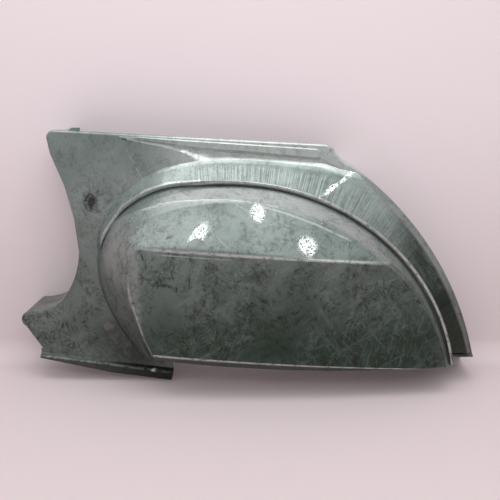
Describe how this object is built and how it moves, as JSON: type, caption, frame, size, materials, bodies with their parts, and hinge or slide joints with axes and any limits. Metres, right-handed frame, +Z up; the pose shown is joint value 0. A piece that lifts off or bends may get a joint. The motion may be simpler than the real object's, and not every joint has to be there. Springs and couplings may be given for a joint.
{
  "type": "scooter side panel",
  "caption": "Left rear side panel of a scooter's pressed steel body: a flat plate with an arched band, a deep pod open below, folded edges and a joggled foot lip.",
  "frame": {"origin": "on the joint flange's face, in the middle plane of the scooter's body, at the waist of the panel's front edge", "axes": "+X from the footwell to the tail, +Y inwards, square to the body's middle plane, +Z up"},
  "size_m": [0.7984, 0.183, 0.4359],
  "materials": {
    "bare_steel": "oiled, unpainted"
  },
  "bodies": {
    "root": {"side_panel": "bare_steel"}
  },
  "joints": []
}
